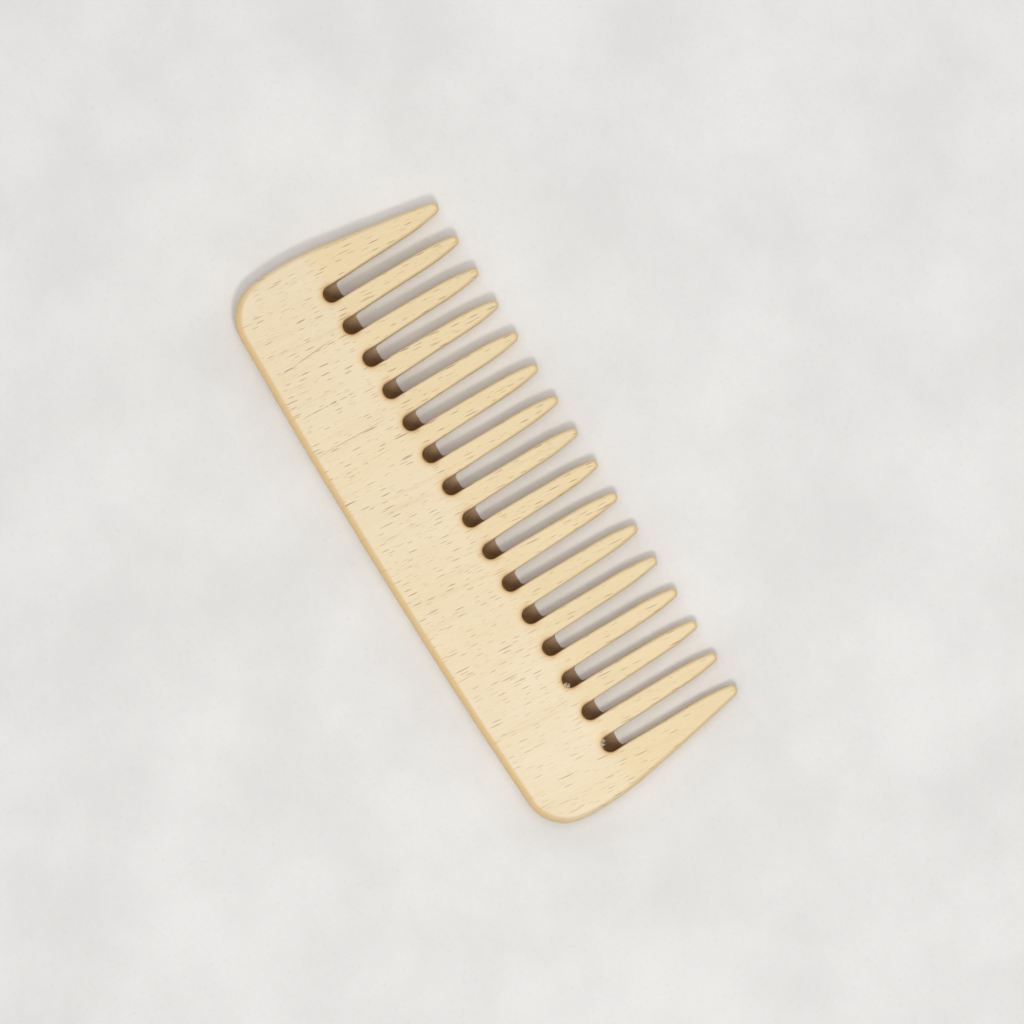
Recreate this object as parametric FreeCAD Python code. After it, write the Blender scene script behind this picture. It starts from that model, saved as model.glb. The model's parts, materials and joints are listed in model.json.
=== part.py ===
"""A one-piece wide tooth comb in beech, as one solid in parts/comb.step.

The comb lies flat. X runs along its spine and Y from the spine to the tooth tips, which is the way the
wood grain runs. Z is up, through the thickness. The origin is the centre of the comb's plan, in the plane
it rests on. All sizes are in millimetres.

The solid is a surround, which is the spine with its two ends, and one slot unit that repeats along it. A
slot unit is a slot with the facing halves of its two teeth. Each is cut from the same side profile and has
its edges rounded before they are joined, so every joint between them is in solid wood and leaves no mark.
The saw leaves the root of each slot sloping, so a slot is longer on the upper face than on the lower one.
"""

import FreeCAD
import Part
import math
import os

# Driving dimensions
COMB_LENGTH = 160.0
COMB_WIDTH = 61.5
SPINE_THICKNESS = 9.0
TIP_THICKNESS = 5.8
TOOTH_COUNT = 16
TOOTH_PITCH = 9.57
SLOT_WIDTH = 4.15
SPINE_DEPTH = 24.8  # from the middle of the back edge to the bottoms of the slots

# Plan outline of the spine and the ends, with heights taken from the middle of the back edge
BACK_ARC_RADIUS = 2000.0
CORNER_RADIUS = 11.0
END_ARC_RADIUS = 75.0
WIDEST_HEIGHT = 17.5
END_ARC_TOP_HEIGHT = 29.5

# Plan shape of a tooth
SIDE_TAPER = math.radians(1.05)
SHOULDER_LENGTH = 23.5  # straight part of a tooth's side
INNER_TIP_RADIUS = 1.3
OUTER_TIP_RADIUS = 1.8  # outer side of the two end teeth

# Side profile, which bends from the flat spine into the thinned tooth zone
BEND_HEIGHT = 26.5
BEND_RADIUS = 90.0
ROOT_RAMP = 4.2  # how much further the sloping root of a slot reaches on the lower face

# Edge rounding
BACK_ROUNDING = 2.2
END_ROUNDING = 1.2
ROOT_ROUNDING = 0.5
SHOULDER_ROUNDING = 0.7
TIP_ROUNDING = 1.0

BACK_Y = -COMB_WIDTH / 2
TIP_Y = COMB_WIDTH / 2
SLOT_RADIUS = SLOT_WIDTH / 2
ROOT_Y = BACK_Y + SPINE_DEPTH
ROOT_CENTRE_Y = ROOT_Y + SLOT_RADIUS
SHOULDER_Y = ROOT_CENTRE_Y + SHOULDER_LENGTH
UNIT_START_Y = ROOT_Y - SLOT_RADIUS
HALF_PITCH = TOOTH_PITCH / 2
END_TOOTH_X = (TOOTH_COUNT - 1) * HALF_PITCH
MIDDLE_Z = SPINE_THICKNESS / 2
NEAR = 1e-4


def point(x, y, z=0.0):
    return FreeCAD.Vector(x, y, z)


def toward(start, end, distance):
    """The point at a distance from start, on the line through end."""
    return start + (end - start).normalize() * distance


def arc_between(centre, start, end):
    """The shorter arc round centre from start to end."""
    middle = toward(centre, (start + end) * 0.5, (start - centre).Length)
    return Part.Arc(start, middle, end).toShape()


def line_between(start, end):
    return Part.LineSegment(start, end).toShape()


def meeting_radius(start, inward, centre, radius):
    """Radius of the arc that leaves start, has its centre along inward and runs smoothly into the circle."""
    reach = start - centre
    return (radius**2 - reach.Length**2) / (2 * (inward.dot(reach) + radius))


def mirrored(edges, axis):
    return [edge.mirror(point(0, 0, MIDDLE_Z), axis) for edge in edges]


def face_between(edges):
    return Part.Face(Part.Wire(Part.__sortEdges__(edges)))


def tooth_side(wall_start):
    """One side of a tooth centred on x = HALF_PITCH, from the slot's round root to the tip."""
    along = point(math.sin(SIDE_TAPER), math.cos(SIDE_TAPER))
    inward = point(math.cos(SIDE_TAPER), -math.sin(SIDE_TAPER))
    shoulder = wall_start + along * SHOULDER_LENGTH
    tip_centre = point(HALF_PITCH, TIP_Y - INNER_TIP_RADIUS)
    radius = meeting_radius(shoulder, inward, tip_centre, INNER_TIP_RADIUS)
    shoulder_centre = shoulder + inward * radius
    tip_start = toward(shoulder_centre, tip_centre, radius)
    return [
        line_between(wall_start, shoulder),
        arc_between(shoulder_centre, shoulder, tip_start),
        arc_between(tip_centre, tip_start, point(HALF_PITCH, TIP_Y)),
    ]


def slot_unit_plan():
    """A slot centred on x = 0, with the facing halves of its two teeth."""
    inward = point(math.cos(SIDE_TAPER), -math.sin(SIDE_TAPER))
    wall_start = point(0, ROOT_CENTRE_Y) + inward * SLOT_RADIUS
    opposite = point(-wall_start.x, wall_start.y)
    root = Part.Arc(opposite, point(0, ROOT_Y), wall_start).toShape()
    side = tooth_side(wall_start)
    corners = [
        point(HALF_PITCH, TIP_Y),
        point(HALF_PITCH, UNIT_START_Y),
        point(-HALF_PITCH, UNIT_START_Y),
        point(-HALF_PITCH, TIP_Y),
    ]
    inside = [line_between(a, b) for a, b in zip(corners, corners[1:])]
    return face_between([root] + side + mirrored(side, point(1, 0)) + inside)


def corner_centre(end_centre, back_centre):
    """Centre of the arc that rounds a corner, touching both the end's arc and the back's arc."""
    from_end = END_ARC_RADIUS - CORNER_RADIUS
    from_back = BACK_ARC_RADIUS - CORNER_RADIUS
    between = back_centre - end_centre
    along = (from_end**2 - from_back**2 + between.Length**2) / (2 * between.Length)
    aside = math.sqrt(from_end**2 - along**2)
    direction = between.normalize()
    return end_centre + direction * along + point(direction.y, -direction.x) * aside


def surround_side():
    """The outline at +X, from the end tooth's tip round the corner to the middle of the back."""
    tip_centre = point(END_TOOTH_X, TIP_Y - OUTER_TIP_RADIUS)
    end_centre = point(COMB_LENGTH / 2 - END_ARC_RADIUS, BACK_Y + WIDEST_HEIGHT)
    back_centre = point(0, BACK_Y + BACK_ARC_RADIUS)
    corner = corner_centre(end_centre, back_centre)

    rise = END_ARC_TOP_HEIGHT - WIDEST_HEIGHT
    flank_start = end_centre + point(math.sqrt(END_ARC_RADIUS**2 - rise**2), rise)
    inward = (end_centre - flank_start).normalize()
    flank_radius = meeting_radius(flank_start, inward, tip_centre, OUTER_TIP_RADIUS)
    flank_centre = flank_start + inward * flank_radius
    flank_end = toward(flank_centre, tip_centre, flank_radius)
    corner_start = toward(end_centre, corner, END_ARC_RADIUS)
    corner_end = toward(back_centre, corner, BACK_ARC_RADIUS)
    return [
        arc_between(tip_centre, point(END_TOOTH_X, TIP_Y), flank_end),
        arc_between(flank_centre, flank_end, flank_start),
        arc_between(end_centre, flank_start, corner_start),
        arc_between(corner, corner_start, corner_end),
        arc_between(back_centre, corner_end, point(0, BACK_Y)),
    ]


def surround_plan():
    """The spine and both ends, as far as the outer halves of the end teeth."""
    side = surround_side()
    inside = [
        line_between(point(END_TOOTH_X, TIP_Y), point(END_TOOTH_X, UNIT_START_Y)),
        line_between(point(END_TOOTH_X, UNIT_START_Y), point(0, UNIT_START_Y)),
    ]
    half = side + inside
    return face_between(half + mirrored(half, point(1, 0)))


def profile_prism():
    """The comb seen from its end: a flat spine that bends into a thinner tooth zone, on both faces."""
    drop = (SPINE_THICKNESS - TIP_THICKNESS) / 2
    bend_y = BACK_Y + BEND_HEIGHT
    slope = math.atan2(drop, TIP_Y - bend_y)
    reach = BEND_RADIUS * math.tan(slope / 2)

    start = point(-COMB_LENGTH, BACK_Y - SPINE_THICKNESS, SPINE_THICKNESS)
    bend_start = point(-COMB_LENGTH, bend_y - reach, SPINE_THICKNESS)
    bend_end_z = SPINE_THICKNESS - reach * math.sin(slope)
    bend_end = point(-COMB_LENGTH, bend_y + reach * math.cos(slope), bend_end_z)
    tip = point(-COMB_LENGTH, TIP_Y, SPINE_THICKNESS - drop)
    end = bend_end + (tip - bend_end) * 2
    top = [
        line_between(start, bend_start),
        arc_between(bend_start - point(0, 0, BEND_RADIUS), bend_start, bend_end),
        line_between(bend_end, end),
    ]
    closing = [line_between(p, point(p.x, p.y, SPINE_THICKNESS - p.z)) for p in (start, end)]
    profile = face_between(top + mirrored(top, point(0, 0, 1)) + closing)
    return profile.extrude(point(2 * COMB_LENGTH, 0))


def slot_unit_rounding(p):
    """Edge rounding at a point of a slot unit's rim, growing from the slot's root to the tooth tips."""
    if p.y <= SHOULDER_Y:
        share = max(0.0, (p.y - ROOT_CENTRE_Y) / SHOULDER_LENGTH)
        return ROOT_ROUNDING + share * (SHOULDER_ROUNDING - ROOT_ROUNDING)
    share = min(1.0, (p.y - SHOULDER_Y) / (TIP_Y - INNER_TIP_RADIUS - SHOULDER_Y))
    return SHOULDER_ROUNDING + share * (TIP_ROUNDING - SHOULDER_ROUNDING)


def surround_rounding(p):
    """Edge rounding at a point of the surround's rim, full along the back and easing up the ends."""
    height = p.y - BACK_Y
    if height > END_ARC_TOP_HEIGHT:
        flank = COMB_WIDTH - OUTER_TIP_RADIUS - END_ARC_TOP_HEIGHT
        share = min(1.0, (height - END_ARC_TOP_HEIGHT) / flank)
        return END_ROUNDING + share * (TIP_ROUNDING - END_ROUNDING)
    share = min(1.0, (END_ARC_TOP_HEIGHT - height) / (END_ARC_TOP_HEIGHT - CORNER_RADIUS))
    return END_ROUNDING + share * (BACK_ROUNDING - END_ROUNDING)


def is_rim(edge, inside_x):
    """True where a wide face meets the wall round the outline, and False for the edges of inside faces."""
    box = edge.BoundBox
    upright = box.ZMin < MIDDLE_Z < box.ZMax
    across_the_face = box.YLength < NEAR and abs(abs(edge.CenterOfMass.y) - TIP_Y) > NEAR
    on_inside_end = box.XLength < NEAR and abs(abs(box.XMax) - inside_x) < NEAR
    return not upright and not across_the_face and not on_inside_end


def bearing(p):
    """Direction of a rim point from a viewpoint past the tips. It only rises along a rim from -X to +X."""
    return math.atan2(p.y - TIP_Y - SPINE_THICKNESS, p.x)


def rim_fillets(numbered_edges, rounding):
    """Edge number and both end radii for one rim. Radii run the way its first edge does, along all of it."""
    first = numbered_edges[0][1]
    falling = bearing(first.valueAt(first.LastParameter)) < bearing(first.valueAt(first.FirstParameter))
    fillets = []
    for number, edge in numbered_edges:
        ends = [edge.valueAt(edge.FirstParameter), edge.valueAt(edge.LastParameter)]
        ends.sort(key=bearing, reverse=falling)
        fillets.append((number, rounding(ends[0]), rounding(ends[1])))
    return fillets


def rounded_piece(plan, rounding, inside_x):
    """The plan cut to the side profile, with its rims rounded by an amount that varies along each edge."""
    sawn = plan.extrude(point(0, 0, SPINE_THICKNESS)).common(profile_prism()).removeSplitter().Solids[0]
    rim = [(number, edge) for number, edge in enumerate(sawn.Edges, start=1) if is_rim(edge, inside_x)]
    upper = [pair for pair in rim if pair[1].CenterOfMass.z > MIDDLE_Z]
    lower = [pair for pair in rim if pair[1].CenterOfMass.z < MIDDLE_Z]

    document = FreeCAD.newDocument()
    blank = document.addObject("Part::Feature", "blank")
    blank.Shape = sawn
    eased = document.addObject("Part::Fillet", "eased")
    eased.Base = blank
    eased.Edges = rim_fillets(upper, rounding) + rim_fillets(lower, rounding)
    document.recompute()
    return eased.Shape.Solids[0]


def root_ramp():
    """The wood that the saw leaves below its sloping cut at a slot's root."""
    reach = SLOT_RADIUS + SHOULDER_ROUNDING
    start_z = SPINE_THICKNESS - 2 * ROOT_ROUNDING
    corners = [
        point(-reach, ROOT_Y - SHOULDER_ROUNDING),
        point(-reach, ROOT_Y + ROOT_RAMP),
        point(-reach, ROOT_Y, start_z),
        point(-reach, ROOT_Y - SHOULDER_ROUNDING, start_z),
    ]
    sides = [line_between(a, b) for a, b in zip(corners, corners[1:] + corners[:1])]
    profile = face_between(sides)
    return profile.extrude(point(2 * reach, 0)).common(profile_prism())


def main():
    surround = rounded_piece(surround_plan(), surround_rounding, END_TOOTH_X)
    slotted = rounded_piece(slot_unit_plan(), slot_unit_rounding, HALF_PITCH)
    unit = slotted.fuse(root_ramp()).removeSplitter().Solids[0]
    units = []
    for number in range(TOOTH_COUNT - 1):
        slot_x = (number + 1) * TOOTH_PITCH - END_TOOTH_X - HALF_PITCH
        units.append(unit.translated(point(slot_x, 0)))
    comb = surround.fuse(units).removeSplitter().Solids[0]
    os.makedirs("parts", exist_ok=True)
    comb.exportStep("parts/comb.step")
    box = comb.optimalBoundingBox()
    size = f"{box.XLength:.2f} x {box.YLength:.2f} x {box.ZLength:.2f} mm"
    print(f"comb: {size}, volume {comb.Volume:.0f} mm3")


main()
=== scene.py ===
import json
import math
import random

import bpy
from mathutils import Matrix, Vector, geometry, kdtree, noise


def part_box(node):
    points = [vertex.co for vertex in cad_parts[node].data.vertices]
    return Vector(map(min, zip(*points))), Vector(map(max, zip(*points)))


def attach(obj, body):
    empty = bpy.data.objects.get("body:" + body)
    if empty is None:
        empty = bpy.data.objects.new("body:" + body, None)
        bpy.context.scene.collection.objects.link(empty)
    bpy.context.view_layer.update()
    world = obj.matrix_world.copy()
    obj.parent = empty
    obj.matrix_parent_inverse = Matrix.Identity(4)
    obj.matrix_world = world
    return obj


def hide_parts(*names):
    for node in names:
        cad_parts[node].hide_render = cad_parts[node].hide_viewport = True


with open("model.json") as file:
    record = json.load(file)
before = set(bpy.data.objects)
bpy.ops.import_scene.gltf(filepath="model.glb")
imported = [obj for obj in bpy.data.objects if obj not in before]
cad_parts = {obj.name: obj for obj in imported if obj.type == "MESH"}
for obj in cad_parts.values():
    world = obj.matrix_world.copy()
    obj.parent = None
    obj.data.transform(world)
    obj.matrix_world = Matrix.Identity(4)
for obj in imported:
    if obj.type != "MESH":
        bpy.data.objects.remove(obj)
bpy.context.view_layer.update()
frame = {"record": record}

# A one-piece wide tooth comb in beech, lying flat. X runs along its spine, Y from the spine to the tooth
# tips, and Z up from the face it rests on. Shapes are worked out in millimetres, and turned into metres when
# a mesh is made.

MM = 0.001

COMB_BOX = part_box("comb")
HALF_LENGTH = COMB_BOX[1].x / MM
BACK_Y = COMB_BOX[0].y / MM
TIP_Y = COMB_BOX[1].y / MM
THICKNESS = COMB_BOX[1].z / MM
GAP_BOXES = [opening["box_m"] for opening in frame["record"]["physics"]["openings"]]
GAP_X = sorted((low[0] + high[0]) / 2 / MM for low, high in GAP_BOXES)
PITCH = (GAP_X[-1] - GAP_X[0]) / (len(GAP_X) - 1)
END_TOOTH_X = GAP_X[-1] + PITCH / 2

# Plan outline
ROOT_Y = BACK_Y + 24.8
GAP_RADIUS = 2.075
ROOT_CENTRE_Y = ROOT_Y + GAP_RADIUS
SIDE_TAPER = math.radians(1.05)
SHOULDER_LENGTH = 23.5
INNER_TIP_RADIUS = 1.3
OUTER_TIP_RADIUS = 1.8
BACK_ARC_RADIUS = 2000.0
CORNER_RADIUS = 11.0
END_ARC_RADIUS = 75.0
WIDEST_Y = BACK_Y + 17.5
FLANK_Y = BACK_Y + 29.5

# Side profile
TIP_THICKNESS = 5.8
BEND_Y = BACK_Y + 26.5
BEND_LENGTH = 4.0

# Edge rounding. The faces were sanded after it, so it stops short of flush and leaves a fine line.
BACK_ROUNDING = 2.7
BACK_ROUNDED_Y = BACK_Y + 2.0
END_ROUNDING = 1.7
ROOT_ROUNDING = 0.6
TIP_ROUNDING = 1.15
ROUNDING_ANGLE = math.radians(70)
LIP = 0.12

# The saw left the gaps' roots sloping, so that a gap is longer on the upper face. Z is from mid-thickness.
ROOT_SLOPE = 4.4
SLOPE_CORNER = 1.0
SLOPE_TOP_Z = THICKNESS / 2 - 0.8
SLOPE_END_Y = ROOT_Y + 14.0
WALL_REACH = GAP_RADIUS * 1.2  # half the gap's width is under this as far as the slope bears on its walls

# Unevenness left by sanding by hand: waves to a millimetre, and their height
BROAD_WAVES, BROAD_HEIGHT = 0.06, 0.10
FINE_WAVES, FINE_HEIGHT = 0.35, 0.018
FINE_START = Vector((40, 0, 0))
FACE_UNEVENNESS = 0.25  # the wide faces' share of it
UNEVENNESS_SEED = 7

# Tufts of torn fibre: place in GAP_X, and bearing round that root in degrees. Sizes are in millimetres.
TORN_ROOTS = ((12, -62), (14, -126))
TUFT_SEED = 5
FIBRES_TO_A_TUFT = 22
TUFT_SPREAD = 24
TUFT_DROP = 0.45
FIBRE_FOOT = 0.3  # how far inside the wood it starts
FIBRE_DEPTH = 0.22
FIBRE_HALF_WIDTH = (0.06, 0.13)
FIBRE_RISE = (-0.25, 0.3)
FIBRE_REACH = (0.7, 1.5)
FIBRE_SWAY = 2.5  # to either side, as a share of its half width
POINT_LIFT = 0.1

# Fineness of the mesh
ROUNDING_STEPS = 7
WALL_ROWS = 6
ARC_STEP = 0.22
LINE_STEP = 0.9
FACE_STEP = 1.1

# The beech's grain leans from Y by some degrees, and a ray reaches deep into the wood
GRAIN_LEAN = 6.0
RAY_CELL_DEPTH = 20.0
RAY_HALF_DEPTH = 15.0
GROWTH_LINE_REACH = 0.12  # from the middle of a dark growth line to where it has faded away

# Dark growth lines: place along X, lean in degrees, start and end height above the back edge, strength
GROWTH_LINES = (
    (-56.6, -3.6, 2.0, 24.0, 0.75),
    (-56.4, 7.0, 4.0, 9.5, 1.0),
    (-43.4, 3.7, 2.0, 19.0, 0.75),
    (-42.9, 4.5, 11.0, 19.0, 0.6),
    (-32.6, 6.0, 14.5, 19.5, 0.95),
    (-33.2, 2.4, 1.0, 24.0, 0.55),
    (-26.0, 3.0, 4.0, 22.0, 0.28),
    (-71.4, 5.0, 0.0, 7.0, 0.45),
    (33.8, 4.0, 0.5, 9.0, 0.45),
    (71.8, 5.0, 0.5, 8.0, 0.50),
    (9.9, 3.0, 0.0, 6.0, 0.30),
)

# Floor, camera and lights, in metres. Lights: name, place, width, power and colour.
FLOOR_REACH = 3.0
CAMERA_HEIGHT = 2.0
CAMERA_X, CAMERA_Y = 0.00406, 0.00585
CAMERA_TURN = math.radians(58.21)
SEEN_WIDTH = 0.2599
WARM, PLAIN = (1.0, 0.985, 0.965), (1.0, 1.0, 1.0)
LAMPS = (
    ("key", (0.17, -0.035, 0.64), 0.10, 1.20, WARM),
    ("left_fill", (-0.7, 0.0, 0.5), 0.6, 0.7, PLAIN),
    ("front_fill", (0.0, 0.7, 0.5), 0.6, 0.75, PLAIN),
    ("back_fill", (0.0, -0.7, 0.5), 0.6, 0.45, PLAIN),
    ("top_fill", (0.0, 0.0, 2.4), 1.6, 18.5, PLAIN),
)
SKY_COLOUR = (0.99, 0.99, 1.0, 1.0)
SKY_LIGHT, SKY_SEEN = 0.38, 0.76  # strength as a light, and as the backdrop that the camera sees


# ---------------------------------------------------------------- outline


def arc(centre, radius, start, end, hollow=False):
    """Points and outward normals along an arc, with angles in radians. A hollow has the wood outside it."""
    step = min(ARC_STEP * math.sqrt(max(radius, 1.0)), LINE_STEP)
    count = max(3, math.ceil(abs(end - start) * radius / step))
    side = -1 if hollow else 1
    samples = []
    for i in range(count + 1):
        angle = start + (end - start) * i / count
        direction = Vector((math.cos(angle), math.sin(angle)))
        samples.append((centre + direction * radius, direction * side))
    return samples


def line(start, end, normal):
    """Points and outward normals along a straight stretch, without its two ends."""
    count = max(2, math.ceil((end - start).length / LINE_STEP))
    return [(start.lerp(end, i / count), normal) for i in range(1, count)]


def meeting_radius(start, inward, centre, radius):
    """Radius of the arc that leaves start, has its centre along inward and runs smoothly into the circle."""
    reach = start - centre
    return (radius**2 - reach.length_squared) / (2 * (inward.dot(reach) + radius))


def angle_of(vector):
    return math.atan2(vector.y, vector.x)


def gap_side():
    """The +X wall of a gap centred on x = 0, from the next tooth's tip down to the gap's root."""
    inward = Vector((math.cos(SIDE_TAPER), -math.sin(SIDE_TAPER)))
    along = Vector((math.sin(SIDE_TAPER), math.cos(SIDE_TAPER)))
    root_centre = Vector((0, ROOT_CENTRE_Y))
    wall_start = root_centre + inward * GAP_RADIUS
    shoulder = wall_start + along * SHOULDER_LENGTH
    tip_centre = Vector((PITCH / 2, TIP_Y - INNER_TIP_RADIUS))
    radius = meeting_radius(shoulder, inward, tip_centre, INNER_TIP_RADIUS)
    shoulder_centre = shoulder + inward * radius
    meeting = angle_of(tip_centre - shoulder_centre) % math.tau
    straight = math.pi - SIDE_TAPER
    return (
        arc(tip_centre, INNER_TIP_RADIUS, math.pi / 2, meeting)
        + arc(shoulder_centre, radius, meeting, straight)[1:]
        + line(shoulder, wall_start, -inward)
        + arc(root_centre, GAP_RADIUS, -SIDE_TAPER, -math.pi / 2, hollow=True)
    )


def corner_centre(end_centre, back_centre):
    """Centre of the arc that rounds a corner, touching both the end's arc and the back's arc."""
    from_end = END_ARC_RADIUS - CORNER_RADIUS
    from_back = BACK_ARC_RADIUS - CORNER_RADIUS
    between = back_centre - end_centre
    along = (from_end**2 - from_back**2 + between.length_squared) / (2 * between.length)
    toward_shadow_side = math.sqrt(from_end**2 - along**2)
    direction = between.normalized()
    return end_centre + direction * along + Vector((direction.y, -direction.x)) * toward_shadow_side


def end_side():
    """The +X end, from the middle of the back edge round the corner to the end tooth's tip."""
    tip_centre = Vector((END_TOOTH_X, TIP_Y - OUTER_TIP_RADIUS))
    end_centre = Vector((HALF_LENGTH - END_ARC_RADIUS, WIDEST_Y))
    back_centre = Vector((0, BACK_Y + BACK_ARC_RADIUS))
    corner = corner_centre(end_centre, back_centre)
    corner_start = angle_of(corner - back_centre)
    corner_end = angle_of(corner - end_centre)

    flank_angle = math.asin((FLANK_Y - WIDEST_Y) / END_ARC_RADIUS)
    outward = Vector((math.cos(flank_angle), math.sin(flank_angle)))
    flank_start = end_centre + outward * END_ARC_RADIUS
    flank_radius = meeting_radius(flank_start, -outward, tip_centre, OUTER_TIP_RADIUS)
    flank_centre = flank_start - outward * flank_radius
    tip_angle = angle_of(tip_centre - flank_centre)
    return (
        arc(back_centre, BACK_ARC_RADIUS, -math.pi / 2, corner_start)
        + arc(corner, CORNER_RADIUS, corner_start, corner_end)[1:]
        + arc(end_centre, END_ARC_RADIUS, corner_end, flank_angle)[1:]
        + arc(flank_centre, flank_radius, flank_angle, tip_angle)[1:]
        + arc(tip_centre, OUTER_TIP_RADIUS, tip_angle, math.pi / 2)[1:]
    )


def mirrored(samples):
    """The same stretch on the other side of x = 0, in the order that keeps the outline running one way."""
    return [(Vector((-p.x, p.y)), Vector((-n.x, n.y))) for p, n in reversed(samples)]


def outline():
    """The comb's closed plan outline, anticlockwise from above, as points and outward normals."""
    end = end_side()
    side = gap_side()
    gap = side + mirrored(side)[1:]
    samples = list(end)
    for x in reversed(GAP_X):
        samples += [(p + Vector((x, 0)), n) for p, n in gap[1:]]
    return samples + mirrored(end)[1:-1]


# ---------------------------------------------------------------- section


def smooth(start, end, share):
    """Goes smoothly from start to end as share goes from 0 to 1."""
    share = min(1.0, max(0.0, share))
    return start + (end - start) * share * share * (3 - 2 * share)


def rounding(p):
    """Radius of the edge rounding at an outline point."""
    in_a_gap = p.y > ROOT_Y - LIP and abs(p.x) < END_TOOTH_X
    if in_a_gap:
        share = (p.y - ROOT_CENTRE_Y) / (TIP_Y - ROOT_CENTRE_Y)
        return smooth(ROOT_ROUNDING, TIP_ROUNDING, share)
    if p.y > WIDEST_Y:
        return smooth(END_ROUNDING, TIP_ROUNDING, (p.y - WIDEST_Y) / (TIP_Y - WIDEST_Y))
    share = (p.y - BACK_ROUNDED_Y) / (WIDEST_Y - BACK_ROUNDED_Y)
    return smooth(BACK_ROUNDING, END_ROUNDING, share)


def half_thickness(y):
    """Half the comb's thickness: even in the spine, then a soft bend, then thinning evenly to the tips."""
    slope = (THICKNESS - TIP_THICKNESS) / 2 / (TIP_Y - BEND_Y)
    past = y - (BEND_Y - BEND_LENGTH / 2)
    if past <= 0:
        return THICKNESS / 2
    if past < BEND_LENGTH:
        return THICKNESS / 2 - slope * past**2 / (2 * BEND_LENGTH)
    return THICKNESS / 2 - slope * (past - BEND_LENGTH / 2)


def root_slope(p, z):
    """How far a point of a gap's wall is carried toward the tips, by the slope the saw left at the root."""
    from_gap = abs(p.x - PITCH * round(p.x / PITCH))
    beyond = p.y < ROOT_Y - LIP or p.y > SLOPE_END_Y or abs(p.x) > END_TOOTH_X
    if beyond or from_gap > WALL_REACH:
        return 0.0
    depth = min(1.0, max(0.0, (SLOPE_TOP_Z - z) / (SLOPE_TOP_Z + THICKNESS / 2)))
    side_y = ROOT_Y + ROOT_SLOPE + SLOPE_CORNER
    if p.y >= ROOT_CENTRE_Y:
        share = (SLOPE_END_Y - p.y) / (SLOPE_END_Y - ROOT_CENTRE_Y)
        return depth * share * (side_y - ROOT_CENTRE_Y)
    past = min(SLOPE_CORNER, max(0.0, from_gap - (GAP_RADIUS - SLOPE_CORNER)))
    lower_y = side_y - math.sqrt(SLOPE_CORNER**2 - past**2)
    return depth * (lower_y - p.y)


def section(p, normal):
    """Points down one section of the wall, from the edge of the upper face to the edge of the lower face."""
    radius = rounding(p)
    flush = 1 - math.cos(ROUNDING_ANGLE)
    rounded = [(radius * flush + LIP, 0.0)]
    for step in range(ROUNDING_STEPS, -1, -1):
        angle = ROUNDING_ANGLE * step / ROUNDING_STEPS
        drop = radius * (math.sin(ROUNDING_ANGLE) - math.sin(angle))
        rounded.append((radius * (1 - math.cos(angle)), drop))
    wall_drop = rounded[-1][1]
    rows = [(inset, drop, 1.0) for inset, drop in rounded]
    rows += [(0.0, wall_drop, 1 - 2 * row / WALL_ROWS) for row in range(1, WALL_ROWS)]
    rows += [(inset, drop, -1.0) for inset, drop in reversed(rounded)]
    points = []
    for inset, drop, share in rows:
        q = p - normal * inset
        y = q.y + root_slope(p, share * (THICKNESS / 2 - drop))
        points.append(Vector((q.x, y, share * (half_thickness(y) - drop))))
    return points


# ---------------------------------------------------------------- mesh


def face_points(rim, normals):
    """Points spread over the inside of a face, clear of its rim."""
    tree = kdtree.KDTree(len(rim))
    for i, p in enumerate(rim):
        tree.insert((p.x, p.y, 0), i)
    tree.balance()
    found = []
    rows = math.ceil((TIP_Y - BACK_Y) / FACE_STEP)
    columns = math.ceil(HALF_LENGTH / FACE_STEP)
    for row in range(rows):
        for column in range(-columns, columns + 1):
            q = Vector(((column + 0.5 * (row % 2)) * FACE_STEP, BACK_Y + row * FACE_STEP))
            near, i, _ = tree.find((q.x, q.y, 0))
            if (near.xy - q).dot(normals[i]) > FACE_STEP / 2:
                found.append(q)
    return found


def cover(points, rim, normals, side):
    """Triangles that fill a face inside its rim, adding points that follow the side profile."""
    inner = face_points([points[i] for i in rim], normals)
    flat = [points[i].xy for i in rim] + inner
    filled = geometry.delaunay_2d_cdt(flat, [], [list(range(len(rim)))], 1, 1e-6)
    plan, triangles, origins = filled[0], filled[2], filled[3]
    numbers = []
    for p, origin in zip(plan, origins):
        if origin and origin[0] < len(rim):
            numbers.append(rim[origin[0]])
        else:
            numbers.append(len(points))
            points.append(Vector((p.x, p.y, side * half_thickness(p.y))))
    return [[numbers[i] for i in triangle[::side]] for triangle in triangles]


def fibre(root, bearing, chance):
    """The four corners of one torn fibre on a gap's rim: three at its foot in the wood, and its point."""
    angle = math.radians(bearing + chance.uniform(-TUFT_SPREAD, TUFT_SPREAD))
    outward = Vector((math.cos(angle), math.sin(angle), 0.0))
    across = Vector((-outward.y, outward.x, 0.0)) * chance.uniform(*FIBRE_HALF_WIDTH)
    rise = Vector((0, 0, chance.uniform(*FIBRE_RISE)))
    foot = root + outward * (GAP_RADIUS + FIBRE_FOOT) + rise
    lean = outward * -chance.uniform(*FIBRE_REACH) + across * chance.uniform(-FIBRE_SWAY, FIBRE_SWAY)
    below = Vector((0, 0, FIBRE_DEPTH))
    return [foot + across, foot - across, foot - below, foot + lean + Vector((0, 0, POINT_LIFT))]


def torn_fibres(points):
    """Small tufts of torn fibre that the saw left on the rims of two roots, as spikes of four faces."""
    chance = random.Random(TUFT_SEED)
    corners = ((0, 1, 3), (1, 2, 3), (2, 0, 3), (0, 2, 1))
    faces = []
    for gap, bearing in TORN_ROOTS:
        root = Vector((GAP_X[gap], ROOT_CENTRE_Y, THICKNESS / 2 - TUFT_DROP))
        for _ in range(FIBRES_TO_A_TUFT):
            first = len(points)
            points += fibre(root, bearing, chance)
            faces += [[first + i for i in corner] for corner in corners]
    return faces


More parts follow.
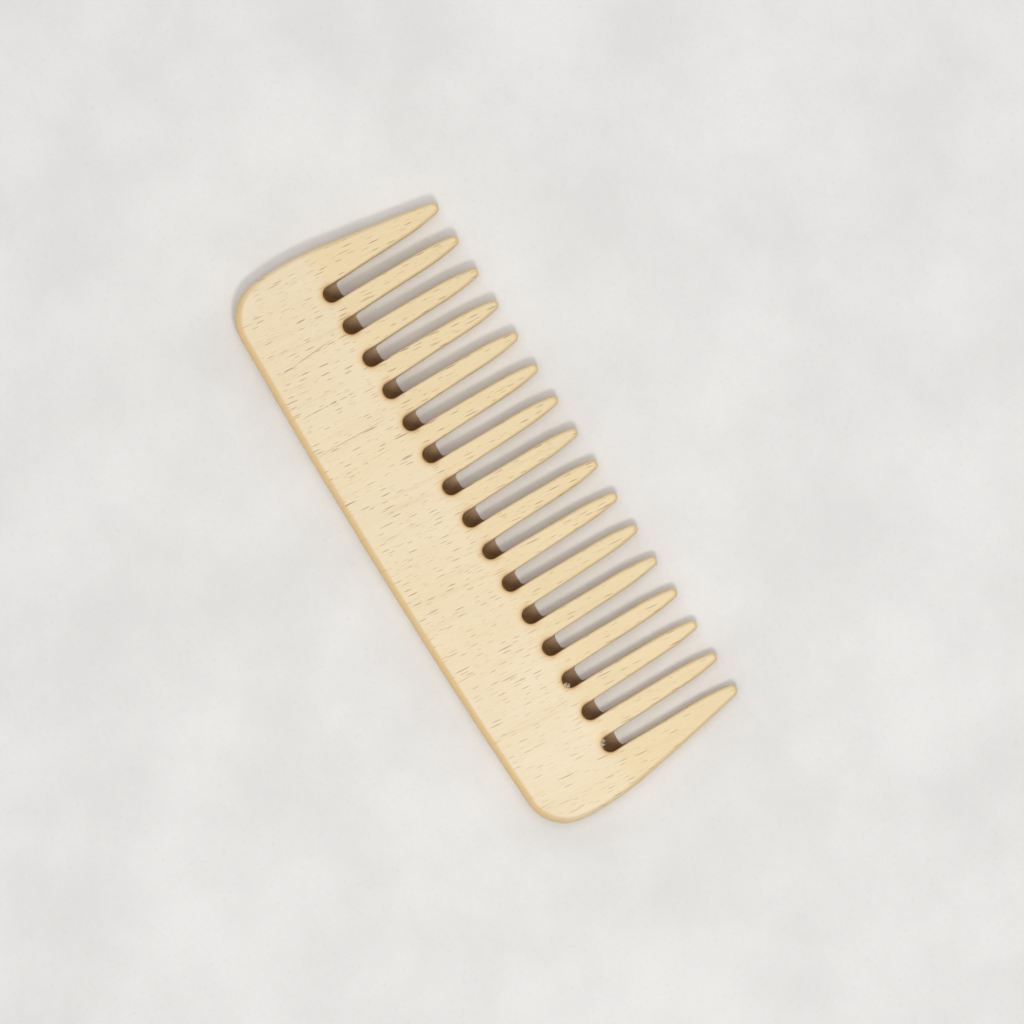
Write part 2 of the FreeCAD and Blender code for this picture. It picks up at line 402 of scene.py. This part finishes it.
def hand_finish(p):
    """Small unevenness left by sanding by hand, as a shift in millimetres."""
    broad = noise.noise_vector(p * BROAD_WAVES) * BROAD_HEIGHT
    fine = noise.noise_vector(p * FINE_WAVES + FINE_START) * FINE_HEIGHT
    shift = broad + fine
    return Vector((shift.x, shift.y, shift.z * FACE_UNEVENNESS))


def comb_mesh():
    samples = outline()
    sections = [section(p, n) for p, n in samples]
    normals = [n for _, n in samples]
    count, depth = len(sections), len(sections[0])
    points = [p for one in sections for p in one]
    faces = []
    for i in range(count):
        here, after = i * depth, (i + 1) % count * depth
        for j in range(depth - 1):
            faces.append((here + j, here + j + 1, after + j + 1, after + j))
    upper_rim = [i * depth for i in range(count)]
    lower_rim = [i * depth + depth - 1 for i in range(count)]
    faces += cover(points, upper_rim, normals, 1)
    faces += cover(points, lower_rim, normals, -1)
    torn = torn_fibres(points)

    noise.seed_set(UNEVENNESS_SEED)
    middle = Vector((0, 0, THICKNESS / 2))
    mesh = bpy.data.meshes.new("comb_wood")
    mesh.from_pydata([(p + middle + hand_finish(p)) * MM for p in points], [], faces + torn)
    for polygon in mesh.polygons[len(faces):]:
        polygon.material_index = 1
    mesh.shade_smooth()
    return mesh


# ---------------------------------------------------------------- materials


def srgb(red, green, blue):
    """A display colour, 0 to 255, as linear light."""
    linear = []
    for value in (red / 255, green / 255, blue / 255):
        linear.append(value / 12.92 if value <= 0.04045 else ((value + 0.055) / 1.055) ** 2.4)
    return (*linear, 1.0)


class Shader:
    """Short calls for building one material's nodes."""

    def __init__(self, name):
        self.material = bpy.data.materials.new(name)
        self.material.use_nodes = True
        self.tree = self.material.node_tree
        self.tree.nodes.clear()

    def feed(self, socket, value):
        if isinstance(value, bpy.types.NodeSocket):
            self.tree.links.new(value, socket)
        else:
            socket.default_value = value

    def node(self, kind, inputs, **settings):
        made = self.tree.nodes.new(kind)
        for name, value in settings.items():
            setattr(made, name, value)
        for key, value in inputs.items():
            self.feed(made.inputs[key], value)
        return made

    def math(self, operation, *values):
        inputs = dict(enumerate(values))
        return self.node("ShaderNodeMath", inputs, operation=operation).outputs[0]

    def product(self, first, *others):
        for other in others:
            first = self.math("MULTIPLY", first, other)
        return first

    def vector(self, operation, *values):
        inputs = dict(enumerate(values))
        made = self.node("ShaderNodeVectorMath", inputs, operation=operation)
        return made.outputs["Value" if operation in ("LENGTH", "DOT_PRODUCT") else "Vector"]

    def axes(self, place):
        """The X, Y and Z of a place."""
        return self.node("ShaderNodeSeparateXYZ", {"Vector": place}).outputs

    def fade(self, value, start, end, low=0.0, high=1.0):
        """Goes smoothly from low to high as value goes from start to end."""
        inputs = {"Value": value, "From Min": start, "From Max": end, "To Min": low, "To Max": high}
        made = self.node("ShaderNodeMapRange", inputs, interpolation_type="SMOOTHSTEP")
        return made.outputs["Result"]

    def noise(self, place, scale, detail=2.0, rough=0.5):
        """Soft noise from 0 to 1, with a separate scale along each axis."""
        stretched = self.vector("MULTIPLY", place, scale)
        inputs = {"Vector": stretched, "Scale": 1.0, "Detail": detail, "Roughness": rough}
        return self.node("ShaderNodeTexNoise", inputs, noise_dimensions="3D").outputs["Fac"]

    def mix(self, share, first, second):
        inputs = {0: share, 6: first, 7: second}
        return self.node("ShaderNodeMix", inputs, data_type="RGBA").outputs[2]

    def surface(self, inputs):
        made = self.node("ShaderNodeBsdfPrincipled", inputs)
        self.node("ShaderNodeOutputMaterial", {"Surface": made.outputs["BSDF"]})
        return self.material


class Beech(Shader):
    """Flat-sawn beech with its fibres along Y, sanded and lightly oiled. Places are in millimetres."""

    def __init__(self):
        super().__init__("beech")
        self.find_place()
        self.find_facing()
        body = self.plain_wood()
        body = self.with_rays(body)
        body = self.with_growth_lines(body)
        body = self.with_end_grain(body)
        body = self.with_scorch_and_shadow(body)
        self.finish(body)

    def find_place(self):
        """Where a point is on the comb, and where it is in the leaning and slightly wandering grain."""
        place = self.node("ShaderNodeTexCoord", {}).outputs["Object"]
        inputs = {"Vector": place, "Scale": (1 / MM,) * 3}
        self.place = self.node("ShaderNodeMapping", inputs).outputs["Vector"]
        self.x, self.y, self.z = self.axes(self.place)
        inputs["Rotation"] = (0, 0, math.radians(GRAIN_LEAN))
        straight = self.node("ShaderNodeMapping", inputs).outputs["Vector"]
        wander = self.math("SUBTRACT", self.noise(straight, (0.045, 0.014, 0.02), 1.0), 0.5)
        sway = self.node("ShaderNodeCombineXYZ", {"X": self.math("MULTIPLY", wander, 2.4)}).outputs[0]
        self.grain = self.vector("ADD", straight, sway)

    def find_facing(self):
        """How far the surface cuts across the fibres, and how far it faces up or down."""
        facing = self.node("ShaderNodeTexCoord", {}).outputs["Normal"]
        lean = math.radians(GRAIN_LEAN)
        fibre = Vector((math.sin(lean), math.cos(lean), 0.0))
        self.end_grain = self.math("ABSOLUTE", self.vector("DOT_PRODUCT", facing, fibre))
        self.upright = self.math("ABSOLUTE", self.axes(facing)["Z"])
        seen = self.math("MAXIMUM", self.upright, self.end_grain)
        self.seen_across = self.fade(seen, 0.25, 0.7, 0.22, 1.0)

    def plain_wood(self):
        """Body colour, with broad bands, growth rings and fine fibres."""
        teeth = self.fade(self.y, ROOT_Y - 1.5, ROOT_Y + 4.5)
        body = self.mix(teeth, srgb(227, 210, 177), srgb(225, 204, 161))
        broad = self.noise(self.grain, (0.11, 0.012, 0.05), 2.0)
        body = self.mix(self.fade(broad, 0.35, 0.7, 0.0, 0.30), body, srgb(224, 203, 156))
        rings = self.noise(self.grain, (0.55, 0.02, 0.12), 3.0, 0.6)
        body = self.mix(self.fade(rings, 0.52, 0.75, 0.0, 0.26), body, srgb(210, 180, 130))
        self.fibres = self.noise(self.grain, (3.2, 0.10, 1.6), 4.0, 0.65)
        return self.mix(self.fade(self.fibres, 0.35, 0.7, 0.0, 0.22), body, srgb(214, 182, 134))

    def flecks(self, cell, half_size, start, share):
        """Short dark dashes of the rays: one to a cell, thin across, a few millimetres along and through."""
        scale = Vector((1 / cell[0], 1 / cell[1], 1 / RAY_CELL_DEPTH))
        scaled = self.vector("MULTIPLY", self.grain, scale)
        place = self.vector("ADD", scaled, Vector((start, start, start)))
        inputs = {"Vector": place, "Scale": 1.0}
        cells = self.node("ShaderNodeTexVoronoi", inputs, voronoi_dimensions="3D").outputs
        apart = self.vector("SUBTRACT", place, cells["Position"])
        squash = (cell[0] / half_size[0], cell[1] / half_size[1], RAY_CELL_DEPTH / RAY_HALF_DEPTH)
        distance = self.vector("LENGTH", self.vector("MULTIPLY", apart, Vector(squash)))
        chance = self.node("ShaderNodeSeparateColor", {"Color": cells["Color"]}).outputs
        size = self.fade(chance["Red"], 0.0, 1.0, 0.55, 1.25)
        shape = self.fade(self.math("DIVIDE", distance, size), 1.0, 0.45)
        darkness = self.fade(chance["Green"], 1 - share, 1.0)
        return self.math("MULTIPLY", shape, self.math("POWER", darkness, 0.6))

    def with_rays(self, body):
        """Rays of three sizes, a little fainter toward +X and on faces that run along them."""
        common = self.flecks((1.05, 5.0), (0.13, 1.45), 0.0, 0.9)
        large = self.flecks((3.2, 10.0), (0.17, 2.4), 31.0, 0.6)
        tiny = self.flecks((0.7, 3.0), (0.08, 0.8), 77.0, 0.6)
        rays = self.math("MAXIMUM", common, large)
        rays = self.math("MAXIMUM", rays, self.math("MULTIPLY", tiny, 0.45))
        self.rays = self.product(rays, self.fade(self.x, 5.0, 60.0, 1.0, 0.72), self.seen_across)
        return self.mix(self.math("MULTIPLY", self.rays, 0.82), body, srgb(140, 103, 60))

    def growth_line(self, across, place, start, end):
        """One dark line between growth rings, at a place across the grain, fading in and out along it."""
        distance = self.math("ABSOLUTE", self.math("SUBTRACT", across, place))
        line_body = self.fade(distance, GROWTH_LINE_REACH, GROWTH_LINE_REACH / 4)
        third = (end - start) / 3
        fading_in = self.fade(self.y, start, start + third)
        fading_out = self.fade(self.y, end, end - third)
        return self.product(line_body, fading_in, fading_out)

    def with_growth_lines(self, body):
        broken = self.fade(self.noise(self.grain, (0.9, 0.5, 0.1), 2.0), 0.36, 0.54)
        for line_x, lean, start, end, strength in GROWTH_LINES:
            slope = math.tan(math.radians(lean))
            leaning = self.math("SUBTRACT", self.x, self.math("MULTIPLY", self.y, slope))
            centre = line_x - (BACK_Y + (start + end) / 2) * slope
            drawn = self.growth_line(leaning, centre, BACK_Y + start, BACK_Y + end)
            shown = self.product(drawn, broken, strength, self.seen_across)
            body = self.mix(shown, body, srgb(122, 92, 60))
        return body

    def with_end_grain(self, body):
        """End grain soaks up more oil, and eased edges are handled more."""
        self.soaked = self.fade(self.end_grain, 0.10, 0.60)
        eased = self.fade(self.upright, 0.97, 0.75)
        body = self.mix(self.math("MULTIPLY", eased, 0.35), body, srgb(226, 194, 140))
        return self.mix(self.math("MULTIPLY", self.soaked, 0.72), body, srgb(229, 193, 128))

    def with_scorch_and_shadow(self, body):
        """Scorching by the saw: warm and toasted rings round each gap's root, and its dark sloping wall. The
        dark wall colour is partly painted shadow: it stays dark further along each gap's +X side, where the
        key light's shadow falls.
        """
        from_gap = self.math("PINGPONG", self.x, PITCH / 2)
        sloped = self.fade(self.z, THICKNESS / 2 + SLOPE_TOP_Z, 0.0, 0.0, ROOT_SLOPE)
        past_root = self.math("SUBTRACT", self.math("SUBTRACT", self.y, ROOT_CENTRE_Y), sloped)
        squares = self.math("ADD", self.product(from_gap, from_gap), self.product(past_root, past_root))
        from_root = self.math("SQRT", squares)
        among_gaps = self.math("LESS_THAN", self.math("ABSOLUTE", self.x), GAP_X[-1] + PITCH * 0.4)
        at_root = self.math("MULTIPLY", among_gaps, self.fade(past_root, 3.5, 0.0, 0.15, 1.0))
        warm = self.fade(from_root, GAP_RADIUS + 2.3, GAP_RADIUS + 0.2)
        body = self.mix(self.product(warm, at_root, 0.40), body, srgb(212, 168, 98))
        toasted = self.fade(from_root, GAP_RADIUS + 1.1, GAP_RADIUS)
        body = self.mix(self.product(toasted, at_root, 0.85), body, srgb(192, 148, 92))

        uneven = self.math("MULTIPLY", self.noise(self.place, (0.8, 0.8, 0.5), 3.0), 1.6)
        rise = self.math("ADD", self.math("SUBTRACT", self.y, ROOT_Y), uneven)
        on_wall = self.fade(self.upright, 0.80, 0.55)
        near_root = self.product(self.fade(rise, 7.6, 5.2), self.fade(rise, 0.1, 1.1))
        self.scorch_and_shadow = self.product(near_root, on_wall, among_gaps)
        # Painted shadow: on the +X side of each gap, where the key light casts its shadow, the dark wall
        # colour reaches further toward the tips. The rest of the fade is the scorch thinning out.
        toward_shadow_side = self.math("WRAP", self.x, PITCH / 2, -PITCH / 2)
        scorch_fade_and_shadow = self.fade(self.math("SUBTRACT", rise, toward_shadow_side), 1.6, 7.8)
        char_and_shadow_colour = self.mix(scorch_fade_and_shadow, srgb(106, 73, 38), srgb(205, 175, 140))
        return self.mix(self.scorch_and_shadow, body, char_and_shadow_colour)

    def finish(self, body):
        """Roughness, fine relief and a thin coat of oil, over the colour."""
        # The scorched wall, with its painted shadow, gets less oil coat and less specular.
        clear_of_scorch_and_shadow = self.math("SUBTRACT", 1.0, self.scorch_and_shadow)
        patches = self.noise(self.place, (0.09, 0.05, 0.09), 3.0)
        roughness = self.math("ADD", 0.36, self.math("MULTIPLY", patches, 0.2))
        roughness = self.math("SUBTRACT", roughness, self.math("MULTIPLY", self.rays, 0.08))
        roughness = self.math("ADD", roughness, self.math("MULTIPLY", self.fibres, 0.08))
        roughness = self.math("ADD", roughness, self.math("MULTIPLY", self.soaked, 0.08))
        pores = self.noise(self.grain, (9.0, 0.5, 7.0), 3.0, 0.7)
        relief = self.math("MULTIPLY", self.fibres, 0.6)
        relief = self.math("ADD", relief, self.math("MULTIPLY", pores, 0.4))
        relief = self.math("SUBTRACT", relief, self.math("MULTIPLY", self.rays, 0.35))
        inputs = {"Height": relief, "Strength": 0.35, "Distance": 0.05 * MM}
        bump = self.node("ShaderNodeBump", inputs)
        self.surface({
            "Base Color": body,
            "Roughness": roughness,
            "Normal": bump.outputs["Normal"],
            "IOR": 1.48,
            "Specular IOR Level": self.math("SUBTRACT", 0.5, self.math("MULTIPLY", self.scorch_and_shadow, 0.3)),
            "Coat Weight": self.math("MULTIPLY", clear_of_scorch_and_shadow, 0.08),
            "Coat Roughness": 0.35,
        })


def torn_wood():
    """Pale fibres with no oil on them."""
    shader = Shader("torn_wood")
    place = shader.node("ShaderNodeTexCoord", {}).outputs["Object"]
    strands = shader.noise(place, (9000, 1500, 9000), 2.0)
    colour = shader.mix(strands, srgb(218, 200, 168), srgb(246, 238, 220))
    return shader.surface({"Base Color": colour, "Roughness": 0.9})


def pale_floor():
    """Pale matt plaster with faint clouds and specks."""
    shader = Shader("pale_floor")
    place = shader.node("ShaderNodeTexCoord", {}).outputs["Object"]
    cloud = shader.noise(place, (22.0, 22.0, 22.0), 5.0, 0.6)
    colour = shader.mix(shader.fade(cloud, 0.3, 0.7), srgb(219, 218, 216), srgb(229, 228, 226))
    specks = shader.noise(place, (900.0, 900.0, 900.0), 3.0, 0.7)
    speckled = shader.fade(specks, 0.52, 0.8, 0.0, 0.22)
    colour = shader.mix(speckled, colour, srgb(184, 180, 174))
    return shader.surface({"Base Color": colour, "Roughness": 0.85})


# ---------------------------------------------------------------- objects, light and camera


def add(name, data, place=(0, 0, 0)):
    made = bpy.data.objects.new(name, data)
    made.location = place
    bpy.context.scene.collection.objects.link(made)
    return made


def build_comb():
    comb = add("comb_wood", comb_mesh())
    comb.data.materials.append(Beech().material)
    comb.data.materials.append(torn_wood())
    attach(comb, "root")
    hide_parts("comb")


def build_floor():
    corners = []
    for x, y in ((-1, -1), (1, -1), (1, 1), (-1, 1)):
        corners.append((x * FLOOR_REACH, y * FLOOR_REACH, 0))
    mesh = bpy.data.meshes.new("floor")
    mesh.from_pydata(corners, [], [(0, 1, 2, 3)])
    mesh.materials.append(pale_floor())
    add("floor", mesh)


def build_lamps():
    """Round soft lights, aimed at the comb."""
    for name, place, width, power, colour in LAMPS:
        light = bpy.data.lights.new(name, "AREA")
        light.shape = "DISK"
        light.size = width
        light.energy = power
        light.color = colour
        made = add(name, light, place)
        made.rotation_euler = Vector(place).to_track_quat("Z", "Y").to_euler()


def build_sky():
    """An even pale surround, brighter to the camera than as a light."""
    world = bpy.data.worlds.new("studio")
    world.use_nodes = True
    nodes, links = world.node_tree.nodes, world.node_tree.links
    sky = nodes["Background"]
    sky.inputs["Color"].default_value = SKY_COLOUR
    seen = nodes.new("ShaderNodeLightPath").outputs["Is Camera Ray"]
    strength = nodes.new("ShaderNodeMapRange")
    strength.inputs["To Min"].default_value = SKY_LIGHT
    strength.inputs["To Max"].default_value = SKY_SEEN
    links.new(seen, strength.inputs["Value"])
    links.new(strength.outputs["Result"], sky.inputs["Strength"])
    bpy.context.scene.world = world


def build_camera():
    """A camera high above the comb's upper face, looking straight down and turned."""
    camera = bpy.data.cameras.new("camera")
    camera.lens = camera.sensor_width * CAMERA_HEIGHT / SEEN_WIDTH
    place = Vector((CAMERA_X, CAMERA_Y, CAMERA_HEIGHT + THICKNESS / 2 * MM))
    made = add("camera", camera, place)
    made.rotation_euler = (0, 0, CAMERA_TURN)
    bpy.context.scene.camera = made


build_comb()
build_floor()
build_lamps()
build_sky()
build_camera()
bpy.context.scene.view_settings.view_transform = "Standard"
